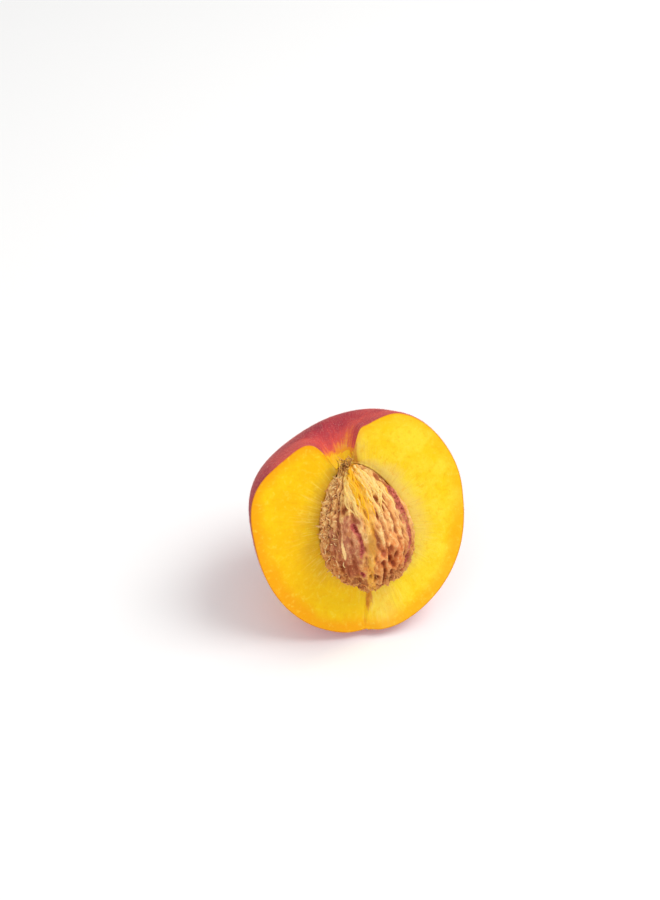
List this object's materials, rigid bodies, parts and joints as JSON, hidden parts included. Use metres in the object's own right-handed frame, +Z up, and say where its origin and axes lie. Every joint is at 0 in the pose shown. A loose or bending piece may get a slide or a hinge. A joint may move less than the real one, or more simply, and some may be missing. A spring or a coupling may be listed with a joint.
{
  "type": "yellow peach half",
  "caption": "Yellow peach cut round its seam and twisted open: one half lying on its skin with the furrowed stone still in its pit, as food for a table, market or kitchen scene",
  "frame": {"origin": "Middle of the small flat spot on the skin that the half rests on, at floor height", "axes": "X runs to the right across the cut, Y points back through the cheek, Z is up. The cut leans back, so it looks towards -Y and up"},
  "size_m": [0.0701, 0.0552, 0.0728],
  "materials": {
    "peach_half": "moist golden yellow flesh on the cut, dusty mauve-red skin with a fine fuzz outside",
    "stone": "matt tan shell with crimson furrows and strips of yellow flesh stuck to it"
  },
  "bodies": {
    "root": {"peach_half": "peach_half", "stone": "stone"}
  },
  "joints": []
}
